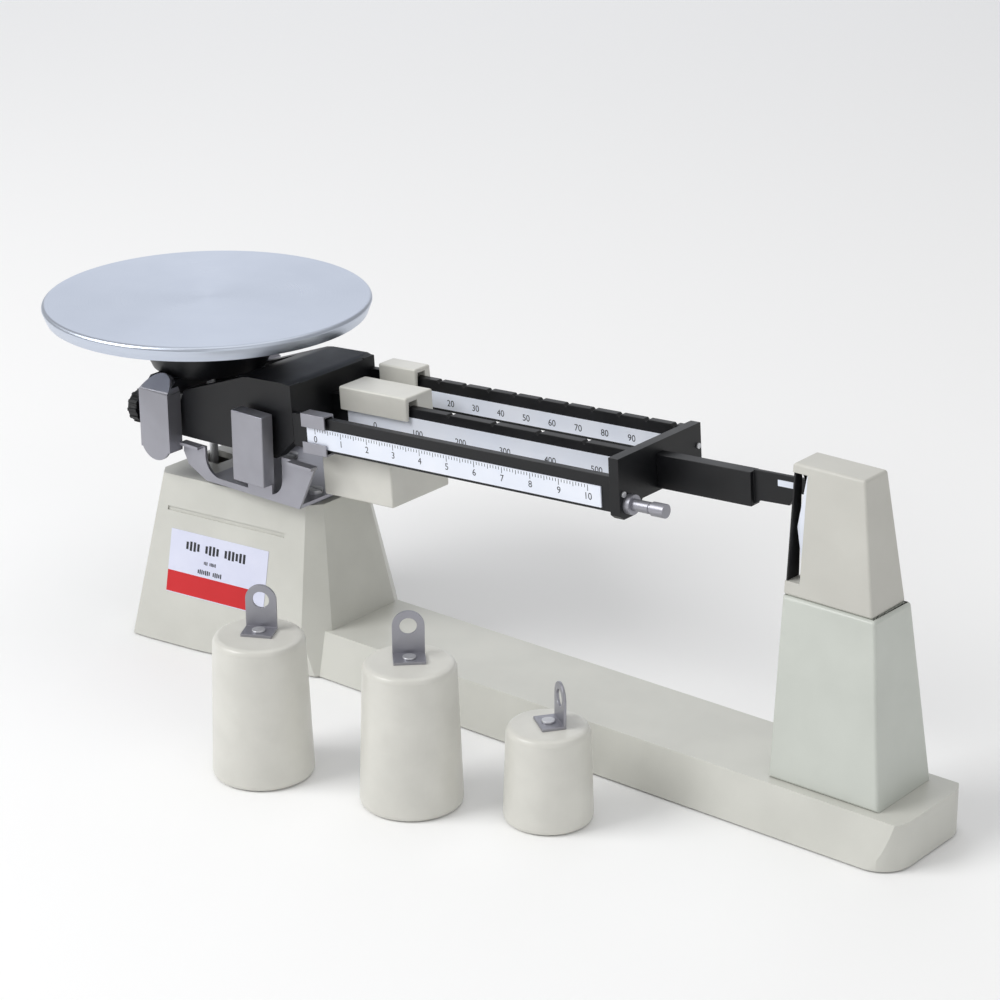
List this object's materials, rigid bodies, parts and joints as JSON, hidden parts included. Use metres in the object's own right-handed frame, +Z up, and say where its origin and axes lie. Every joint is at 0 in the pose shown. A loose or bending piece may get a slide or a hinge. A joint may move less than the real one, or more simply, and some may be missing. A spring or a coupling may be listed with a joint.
{
  "type": "triple beam balance",
  "caption": "Mechanical laboratory balance with a round pan, notched beams with sliding poises, a damped pointer and separate hanging weights.",
  "frame": {"origin": "on the resting plane, straight below the main knife edge", "axes": "+X from the pan to the pointer along the beam, -Y towards the operator, +Z up"},
  "size_m": [0.4724, 0.2107, 0.1564],
  "materials": {
    "light_enamel": "satin",
    "light_plastic": "satin",
    "lower_post_enamel": "satin",
    "foot_rubber": "matte",
    "label_film": "satin",
    "bright_steel": "polished",
    "plain_steel": "satin",
    "stainless_pan": "satin",
    "bearing_stone": "polished",
    "black_casting": "satin",
    "black_support": "satin",
    "black_plastic": "satin",
    "scale_plate": "satin",
    "white_mark": "satin",
    "copper_vane": "satin",
    "magnet": "matte",
    "poise_enamel": "satin",
    "weight_enamel": "satin"
  },
  "bodies": {
    "base": {"base_casting": "light_enamel", "rubber_feet": "foot_rubber", "name_label": "label_film", "bearing_bracket": "bright_steel", "bracket_screws": "plain_steel", "fulcrum_bearings": "bearing_stone", "fulcrum_caps": "bright_steel", "link_bracket": "plain_steel", "link_pin": "plain_steel", "post_lower": "lower_post_enamel", "post_upper": "light_plastic", "post_screws": "plain_steel", "zero_plate": "white_mark", "window_liner": "black_plastic", "magnet_yoke": "plain_steel", "damping_magnets": "magnet"},
    "beam": {"beam_yoke": "black_casting", "front_beam": "black_casting", "middle_beam": "black_casting", "rear_beam": "black_casting", "front_scale": "scale_plate", "middle_scale": "scale_plate", "rear_scale": "scale_plate", "end_plate": "black_casting", "pointer_arm": "black_casting", "pointer_mark": "white_mark", "damping_vane": "copper_vane", "hook_pins": "bright_steel", "hook_washers": "bright_steel", "beam_rivets": "plain_steel", "fulcrum_knife": "plain_steel", "pan_knives": "plain_steel", "zero_screw": "plain_steel"},
    "zero_knob": {"zero_knob": "black_plastic"},
    "carrier": {"pan_support": "black_support", "pan_caps": "bright_steel", "pan_bearings": "bearing_stone", "check_rod": "plain_steel", "rod_nut": "plain_steel"},
    "pan": {"weighing_pan": "stainless_pan"},
    "check_link": {"check_link": "plain_steel", "link_end_pin": "plain_steel"},
    "front_poise": {"front_poise": "bright_steel"},
    "middle_poise": {"middle_poise": "poise_enamel", "middle_pawl": "plain_steel"},
    "rear_poise": {"rear_poise": "poise_enamel", "rear_pawl": "plain_steel"},
    "large_weight_a": {"large_weight_a": "weight_enamel", "hanger_a": "bright_steel", "rivet_a": "plain_steel"},
    "large_weight_b": {"large_weight_b": "weight_enamel", "hanger_b": "bright_steel", "rivet_b": "plain_steel"},
    "small_weight": {"small_weight": "weight_enamel", "hanger_small": "bright_steel", "rivet_small": "plain_steel"}
  },
  "joints": [
    {"name": "beam_swing", "type": "hinge", "parent": "base", "child": "beam", "pos_m": [0, 0, 0.112], "axis": [0, 1, 0], "range_deg": [0, 7.2]},
    {"name": "pan_level", "type": "hinge", "parent": "beam", "child": "carrier", "pos_m": [-0.05888, 0, 0.10819], "axis": [0, 1, 0], "range_deg": [-7.2, 0]},
    {"name": "link_swing", "type": "hinge", "parent": "base", "child": "check_link", "pos_m": [0, 0, 0.045], "axis": [0, 1, 0], "range_deg": [0, 7.2]},
    {"name": "pan_lift", "type": "slide", "parent": "carrier", "child": "pan", "axis": [0, 0, 1], "range_m": [0, 0.05]},
    {"name": "zero_turn", "type": "hinge", "parent": "beam", "child": "zero_knob", "pos_m": [-0.07874, -0.0245, 0.1054], "axis": [0.9979, 0, 0.0645], "range_deg": [-360, 360]},
    {"name": "front_slide", "type": "slide", "parent": "beam", "child": "front_poise", "axis": [0.9979, 0, 0.0645], "range_m": [0, 0.1519]},
    {"name": "middle_slide", "type": "slide", "parent": "beam", "child": "middle_poise", "axis": [0.9979, 0, 0.0645], "range_m": [0, 0.12425]},
    {"name": "rear_slide", "type": "slide", "parent": "beam", "child": "rear_poise", "axis": [0.9979, 0, 0.0645], "range_m": [0, 0.1441]},
    {"name": "large_weight_a_lift", "type": "slide", "parent": "base", "child": "large_weight_a", "axis": [0, 0, 1], "range_m": [0, 0.15]},
    {"name": "large_weight_b_lift", "type": "slide", "parent": "base", "child": "large_weight_b", "axis": [0, 0, 1], "range_m": [0, 0.15]},
    {"name": "small_weight_lift", "type": "slide", "parent": "base", "child": "small_weight", "axis": [0, 0, 1], "range_m": [0, 0.15]}
  ],
  "couplings": [
    {"joint": "pan_level", "follows": "beam_swing", "ratio": -1},
    {"joint": "link_swing", "follows": "beam_swing", "ratio": 1}
  ]
}
